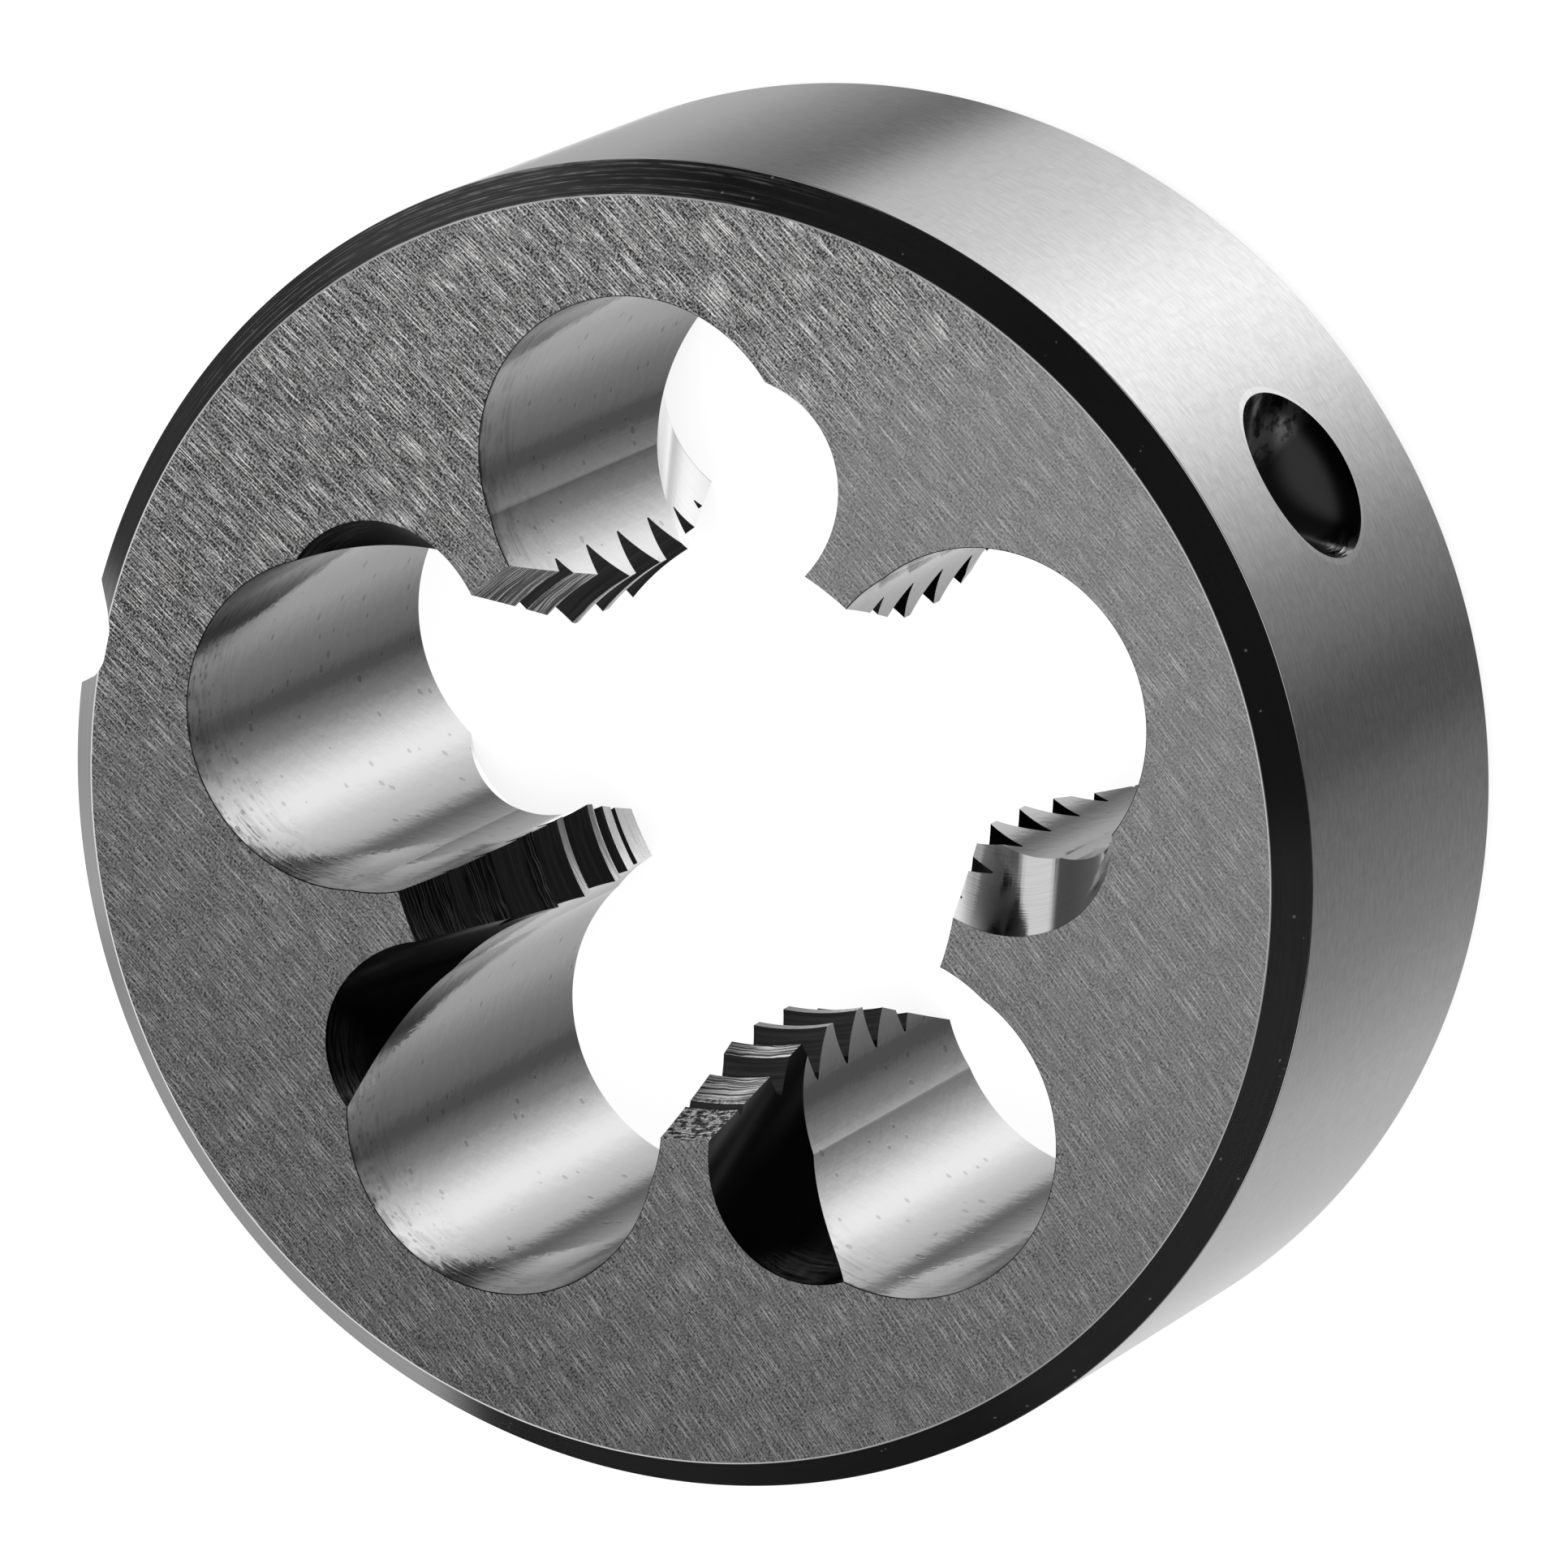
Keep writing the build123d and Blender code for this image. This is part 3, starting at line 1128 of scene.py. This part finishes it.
# Leaning ring of black cards, in degrees: the direction where it stands highest, its height at
# right angles to that, how far it leans and sags, half its width with its soft edge, and its gap
RING_DIRECTION = radians(-48)
RING_HEIGHT = 10.5
RING_LEAN = 25.5
RING_SAG = 9.5
RING_WIDTH = (10.0, 16.0)
RING_GAP = (129.0, 22.0, 5.0)

# Black card bent like an arch, in degrees: its azimuth, the height of its foot, half its span
# and its rise. Its band is given in shares of those
ARCH_AZIMUTH = -45
ARCH_FOOT = -50
ARCH_SPAN = 60
ARCH_RISE = 77
ARCH_BAND = (0.96, 0.14, 0.08)

# Levels that black cards still have
RING_LEVEL = 0.005
ARCH_LEVEL = 0.02
LEAST_LEVEL = 0.012

# Small soft lamps: azimuth, half width and soft edge, height, half width and soft edge, and level
SPOTS = (
    (-121, 33, 10, 10, 30, 10, 0.018),
    (72, 31, 12, 5, 25, 10, 0.035),
    (59, 8, 10, 5, 25, 10, 0.045),
    (115, 6, 5, -18, 10, 10, 0.28),
    (58.5, 7.5, 6, -39, 6, 6, 1.05),
)


def lamp_levels(nodes, turn, light):
    """Gives the level of a band of lamps at a share of a full turn, counted from azimuth -180."""
    return nodes.ramp(turn, [((azimuth + 180) / 360, level) for azimuth, level in light])


def seen_directly(nodes):
    """Gives 1 to the rays that should find the white background, and 0 to those that light."""
    path = nodes.tree.nodes.new("ShaderNodeLightPath")
    seen = nodes.math("MAXIMUM", path.outputs["Is Camera Ray"], path.outputs["Is Glossy Ray"])
    return nodes.math("MAXIMUM", seen, path.outputs["Is Transmission Ray"])


def add_floor():
    """Adds the pale floor: white to the camera, with the soft shadow of the die on it."""
    deselect_all()
    bpy.ops.mesh.primitive_plane_add(size=FLOOR_WIDTH, location=(0, 0, 0))
    floor = name_new("studio_floor")
    floor.visible_glossy = False
    material = bpy.data.materials.new("pale_floor")
    material.use_nodes = True
    material.cycles.emission_sampling = "NONE"
    nodes = Nodes(material.node_tree)
    shader = material.node_tree.nodes["Principled BSDF"]
    shader.inputs["Base Color"].default_value = (FLOOR_GREY, FLOOR_GREY, FLOOR_GREY, 1)
    shader.inputs["Roughness"].default_value = 1
    shader.inputs["Specular IOR Level"].default_value = 0
    glow = nodes.times(seen_directly(nodes), FLOOR_GLOW)
    nodes.put((1, 1, 1, 1), shader.inputs["Emission Color"])
    nodes.put(glow, shader.inputs["Emission Strength"])
    floor.data.materials.append(material)


def add_lamp():
    """Adds the large soft lamp overhead, which casts the shadow on the floor."""
    bpy.ops.object.light_add(type="AREA", location=LAMP_PLACE)
    lamp = name_new("soft_lamp")
    lamp.data.shape = "DISK"
    lamp.data.size = LAMP_WIDTH
    lamp.data.energy = LAMP_POWER
    lamp.visible_glossy = False
    lamp.rotation_euler = LAMP_PLACE.to_track_quat("Z", "Y").to_euler()


def mirrored_light(nodes, direction):
    """Gives the level of the lamps and cards in a direction from the middle of the dome."""
    x, y, z = nodes.split(nodes.add("ShaderNodeVectorMath", direction, operation="NORMALIZE"))
    azimuth = nodes.math("ARCTAN2", y, x)
    degrees = nodes.math("DEGREES", azimuth)
    turn = nodes.times_add(azimuth, 1 / (2 * pi), 0.5)
    height = nodes.math("DEGREES", nodes.math("ARCSINE", z))
    level = lamp_levels(nodes, turn, LOW_LIGHT)
    bands = ((SIDE_START, SIDE_LIGHT), (LEVEL_START, LEVEL_LIGHT), (HIGH_START, HIGH_LIGHT))
    for start, light in bands:
        level = nodes.mix(nodes.remap(height, *start), level, lamp_levels(nodes, turn, light))
    level = nodes.mix(nodes.remap(height, *OVERHEAD_START), level, OVERHEAD_LIGHT)

    # The ring of black cards, which the chamfer mirrors
    aside = nodes.math("COSINE", nodes.math("SUBTRACT", azimuth, RING_DIRECTION))
    sag = nodes.times(aside, aside)
    ring = nodes.total(RING_HEIGHT, (aside, RING_LEAN), (sag, -RING_SAG))
    off = nodes.math("ABSOLUTE", nodes.math("SUBTRACT", height, ring))
    clear = nodes.remap(off, *RING_WIDTH, RING_LEVEL, 1.0)
    clear = nodes.math("MAXIMUM", clear, nodes.band(degrees, *RING_GAP))

    # The arched black card, which the screw seat mirrors
    across = nodes.times_add(degrees, 1 / ARCH_SPAN, -ARCH_AZIMUTH / ARCH_SPAN)
    up = nodes.times_add(height, 1 / ARCH_RISE, -ARCH_FOOT / ARCH_RISE)
    arch = nodes.band(nodes.length(across, up), *ARCH_BAND)
    arch = nodes.times(arch, nodes.remap(height, ARCH_FOOT - 4, ARCH_FOOT + 4))
    clear = nodes.times(clear, nodes.times_add(arch, ARCH_LEVEL - 1, 1.0))
    level = nodes.times_add(level, clear, LEAST_LEVEL)
    for side, wide, wide_edge, rise, tall, tall_edge, glow in SPOTS:
        spot = nodes.band(degrees, side, wide, wide_edge)
        spot = nodes.times(spot, nodes.band(height, rise, tall, tall_edge))
        level = nodes.times_add(spot, glow, level)
    return level


def add_light_dome():
    """Adds the dome of soft lamps and black cards, which only the steel's reflections show."""
    deselect_all()
    bpy.ops.mesh.primitive_uv_sphere_add(segments=64, ring_count=32, radius=DOME_RADIUS)
    dome = name_new("light_dome")
    dome.visible_camera = False
    dome.visible_diffuse = False
    dome.visible_transmission = False
    dome.visible_volume_scatter = False
    dome.visible_shadow = False
    material = bpy.data.materials.new("lamps_and_cards")
    material.use_nodes = True
    material.cycles.emission_sampling = "NONE"
    tree = material.node_tree
    tree.nodes.remove(tree.nodes["Principled BSDF"])
    nodes = Nodes(tree)
    place = tree.nodes.new("ShaderNodeTexCoord").outputs["Object"]
    glow = nodes.add("ShaderNodeEmission", nodes.grey(mirrored_light(nodes, place)), 1.0)
    nodes.put(glow, tree.nodes["Material Output"].inputs["Surface"])
    dome.data.materials.append(material)


def light_world(scene):
    """Makes the world white as a background and plainly lit all round."""
    world = bpy.data.worlds.new("studio")
    scene.world = world
    world.use_nodes = True
    world.cycles.sampling_method = "NONE"
    nodes = Nodes(world.node_tree)
    shown = nodes.mix(seen_directly(nodes), PLAIN_LIGHT, 1.0)
    nodes.put(nodes.grey(shown), world.node_tree.nodes["Background"].inputs["Color"])


def add_camera(scene):
    """Adds the camera where the photograph's camera stood."""
    data = bpy.data.cameras.new("camera")
    data.sensor_width = 36
    data.lens = CAMERA_LENS
    data.clip_start = 0.01
    camera = bpy.data.objects.new("camera", data)
    scene.collection.objects.link(camera)
    axes = Matrix((CAMERA_RIGHT, -CAMERA_DOWN, -CAMERA_FORWARD)).transposed().to_4x4()
    camera.matrix_world = Matrix.Translation(CAMERA_PLACE) @ axes
    scene.camera = camera


class DIE_PT_panel(bpy.types.Panel):
    """Buttons for the threading die and its studio"""

    bl_idname = "DIE_PT_panel"
    bl_label = "Threading Die"
    bl_space_type = "VIEW_3D"
    bl_region_type = "UI"
    bl_category = "Threading Die"

    def draw(self, context):
        for operator in (DIE_OT_add_die, DIE_OT_add_studio):
            self.layout.operator(operator.bl_idname)


CLASSES = (BlankSizes, ThreadSizes, HoleSizes, DIE_OT_add_die, DIE_OT_add_studio, DIE_PT_panel)


def register():
    """Registers the classes and puts the settings on the scene."""
    for cls in CLASSES:
        bpy.utils.register_class(cls)
    bpy.types.Scene.die_blank = PointerProperty(type=BlankSizes)
    bpy.types.Scene.die_thread = PointerProperty(type=ThreadSizes)
    bpy.types.Scene.die_holes = PointerProperty(type=HoleSizes)


def unregister():
    """Takes the settings and the classes away again."""
    for name in ("die_blank", "die_thread", "die_holes"):
        delattr(bpy.types.Scene, name)
    for cls in reversed(CLASSES):
        bpy.utils.unregister_class(cls)


def main():
    """Builds the die and its studio."""
    register()
    bpy.ops.object.add_threading_die()
    bpy.ops.scene.add_die_studio()


if __name__ == "__main__":
    main()
